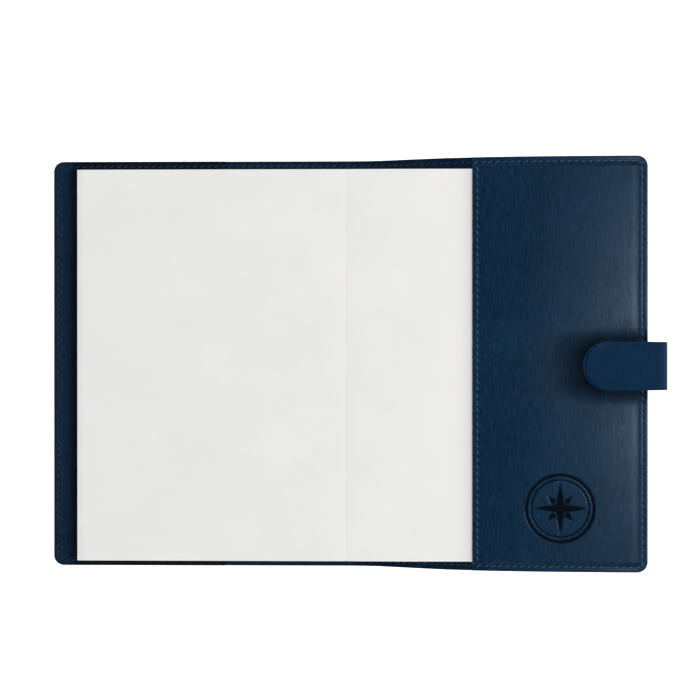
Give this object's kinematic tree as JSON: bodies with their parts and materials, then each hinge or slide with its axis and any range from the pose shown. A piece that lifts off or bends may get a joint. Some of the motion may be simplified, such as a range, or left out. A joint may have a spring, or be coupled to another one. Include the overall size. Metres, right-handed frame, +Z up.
{
  "type": "pilot logbook",
  "caption": "Open leather folio logbook with a front and a back pocket, a closing strap with a hidden magnet, and a sewn refillable book insert whose cards slip into the pockets.",
  "frame": {"origin": "under the middle of the open book, on the table", "axes": "+X from the front cover to the strap, +Y to the head of the pages, +Z up"},
  "size_m": [0.331, 0.221, 0.0346],
  "materials": {
    "leather": "navy, fine grain, satin",
    "strap_leather": "navy, smooth, satin",
    "lining": "navy, matt",
    "board": "grey board, inside the cover",
    "thread": "navy waxed thread",
    "paper": "smooth white paper",
    "card": "white card",
    "sewing": "undyed thread",
    "steel": "plain steel and magnet"
  },
  "bodies": {
    "front_cover": {"front_cover_leather": "leather", "front_cover_board": "board", "front_lining": "lining", "front_pocket": "leather", "front_stitching": "thread", "front_pocket_mouth_stitching": "thread", "keeper_plate": "steel"},
    "spine": {"spine_leather": "leather", "spine_board": "board", "spine_lining": "lining", "spine_stitching": "thread"},
    "back_hinge": {"back_hinge_leather": "leather", "back_hinge_lining": "lining", "back_hinge_stitching": "thread"},
    "back_cover": {"back_cover_leather": "leather", "back_cover_board": "board", "back_lining": "lining", "back_pocket": "leather", "back_stitching": "thread", "back_pocket_mouth_stitching": "thread", "insert_back_card": "card", "strap_root": "strap_leather", "strap_root_stitching": "thread"},
    "strap_riser": {"strap_riser": "strap_leather"},
    "strap_neck": {"strap_neck": "strap_leather"},
    "strap_tab": {"strap_tab_outer": "strap_leather", "strap_tab_inner": "strap_leather", "strap_magnet": "steel"},
    "insert": {"insert_front_card": "card", "insert_spine_card": "card", "front_endpaper": "paper", "sewing_thread": "sewing", "section_01": "paper", "section_02": "paper", "section_03": "paper", "section_04": "paper", "section_05": "paper", "section_06": "paper", "section_07": "paper", "section_08": "paper", "section_09": "paper", "section_10": "paper", "section_11": "paper", "section_12": "paper"},
    "leaf_1": {"leaf_1": "paper"},
    "leaf_2": {"leaf_2": "paper"},
    "leaf_3": {"leaf_3": "paper"},
    "back_endpaper": {"back_endpaper": "paper"}
  },
  "joints": [
    {"name": "cover_close", "type": "hinge", "parent": "front_cover", "child": "spine", "pos_m": [-0.01443, 0, 0.0032], "axis": [0, -1, 0], "range_deg": [0, 90]},
    {"name": "back_hinge_fold", "type": "hinge", "parent": "spine", "child": "back_hinge", "pos_m": [0.00807, 0, 0.0032], "axis": [0, -1, 0], "range_deg": [0, 70]},
    {"name": "back_panel_flatten", "type": "hinge", "parent": "back_hinge", "child": "back_cover", "pos_m": [0.06258, 0, 0.02304], "axis": [0, -1, 0], "range_deg": [0, 16]},
    {"name": "insert_slide", "type": "slide", "parent": "front_cover", "child": "insert", "axis": [-1, 0, 0], "range_m": [0, 0.0112]},
    {"name": "back_endpaper_turn", "type": "hinge", "parent": "insert", "child": "back_endpaper", "pos_m": [-0.00373, 0, 0.023], "axis": [0, -1, 0], "range_deg": [0, 179.62], "deforming": ["back_endpaper"]},
    {"name": "strap_unroll", "type": "hinge", "parent": "back_cover", "child": "strap_riser", "pos_m": [0.16345, 0, 0.02688], "axis": [0, 1, 0], "range_deg": [0, 90]},
    {"name": "strap_straighten", "type": "hinge", "parent": "strap_riser", "child": "strap_neck", "pos_m": [0.16307, 0, 0.03237], "axis": [0, 1, 0], "range_deg": [0, 90]},
    {"name": "strap_tab_lift", "type": "hinge", "parent": "strap_neck", "child": "strap_tab", "pos_m": [0.15603, 0, 0.03408], "axis": [0, 1, 0], "range_deg": [0, 100]},
    {"name": "leaf_1_turn", "type": "hinge", "parent": "insert", "child": "leaf_1", "pos_m": [-0.00473, 0, 0.0232], "axis": [0, -1, 0], "range_deg": [-168, 0], "deforming": ["leaf_1"]},
    {"name": "leaf_2_turn", "type": "hinge", "parent": "insert", "child": "leaf_2", "pos_m": [-0.00473, 0, 0.0232], "axis": [0, -1, 0], "range_deg": [-164, 0], "deforming": ["leaf_2"]},
    {"name": "leaf_3_turn", "type": "hinge", "parent": "insert", "child": "leaf_3", "pos_m": [-0.00473, 0, 0.0232], "axis": [0, -1, 0], "range_deg": [-160, 0], "deforming": ["leaf_3"]}
  ],
  "couplings": [
    {"joint": "back_hinge_fold", "follows": "cover_close", "ratio": 0.77777},
    {"joint": "back_panel_flatten", "follows": "cover_close", "ratio": 0.17777},
    {"joint": "insert_slide", "follows": "cover_close", "m_per_rad": 0.00713},
    {"joint": "back_endpaper_turn", "follows": "cover_close", "ratio": 1.9957},
    {"joint": "strap_unroll", "follows": "cover_close", "ratio": 1},
    {"joint": "strap_straighten", "follows": "cover_close", "ratio": 1},
    {"joint": "leaf_2_turn", "follows": "leaf_1_turn", "ratio": 0.976},
    {"joint": "leaf_3_turn", "follows": "leaf_1_turn", "ratio": 0.952}
  ]
}
